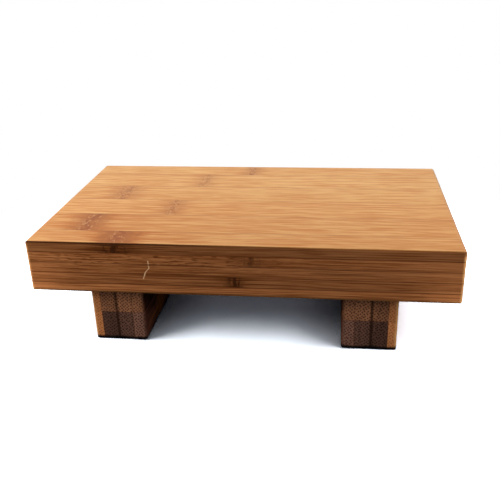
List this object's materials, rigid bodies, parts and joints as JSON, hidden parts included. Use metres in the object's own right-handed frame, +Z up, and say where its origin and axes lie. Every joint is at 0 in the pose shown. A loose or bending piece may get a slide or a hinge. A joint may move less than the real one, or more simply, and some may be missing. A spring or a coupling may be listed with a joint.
{
  "type": "sushi geta board",
  "caption": "Thick serving board of laminated bamboo strips with eased edges, raised on glued and dowelled cross legs of bamboo end grain; serves sushi and lifts by its overhanging ends.",
  "frame": {"origin": "on the standing surface, under the middle of the board", "axes": "+X along the board's length, +Y from its front to its back, +Z up"},
  "size_m": [0.22, 0.132, 0.06],
  "materials": {
    "board_bamboo": "satin, carbonised bamboo strips with knots",
    "leg_bamboo": "matte, dark carbonised bamboo",
    "leg_pale_bamboo": "matte, paler carbonised bamboo",
    "dowel_wood": "raw fluted dowel"
  },
  "bodies": {
    "root": {"top_ply_strip_1": "board_bamboo", "top_ply_strip_2": "board_bamboo", "top_ply_strip_3": "board_bamboo", "top_ply_strip_4": "board_bamboo", "top_ply_strip_5": "board_bamboo", "top_ply_strip_6": "board_bamboo", "upper_ply_strip_1": "board_bamboo", "upper_ply_strip_2": "board_bamboo", "upper_ply_strip_3": "board_bamboo", "upper_ply_strip_4": "board_bamboo", "upper_ply_strip_5": "board_bamboo", "upper_ply_strip_6": "board_bamboo", "core_ply_strip_1": "board_bamboo", "core_ply_strip_2": "board_bamboo", "core_ply_strip_3": "board_bamboo", "core_ply_strip_4": "board_bamboo", "core_ply_strip_5": "board_bamboo", "core_ply_strip_6": "board_bamboo", "lower_ply_strip_1": "board_bamboo", "lower_ply_strip_2": "board_bamboo", "lower_ply_strip_3": "board_bamboo", "lower_ply_strip_4": "board_bamboo", "lower_ply_strip_5": "board_bamboo", "lower_ply_strip_6": "board_bamboo", "bottom_ply_strip_1": "board_bamboo", "bottom_ply_strip_2": "board_bamboo", "bottom_ply_strip_3": "board_bamboo", "bottom_ply_strip_4": "board_bamboo", "bottom_ply_strip_5": "board_bamboo", "bottom_ply_strip_6": "board_bamboo", "left_leg_upper_strip_1": "leg_bamboo", "left_leg_upper_strip_2": "leg_bamboo", "left_leg_upper_strip_3": "leg_bamboo", "left_leg_upper_strip_4": "leg_bamboo", "left_leg_lower_strip_1": "leg_pale_bamboo", "left_leg_lower_strip_2": "leg_bamboo", "left_leg_lower_strip_3": "leg_bamboo", "left_leg_lower_strip_4": "leg_bamboo", "right_leg_upper_strip_1": "leg_bamboo", "right_leg_upper_strip_2": "leg_bamboo", "right_leg_upper_strip_3": "leg_bamboo", "right_leg_upper_strip_4": "leg_bamboo", "right_leg_lower_strip_1": "leg_pale_bamboo", "right_leg_lower_strip_2": "leg_bamboo", "right_leg_lower_strip_3": "leg_bamboo", "right_leg_lower_strip_4": "leg_bamboo", "left_leg_front_dowel": "dowel_wood", "left_leg_back_dowel": "dowel_wood", "right_leg_front_dowel": "dowel_wood", "right_leg_back_dowel": "dowel_wood"}
  },
  "joints": []
}
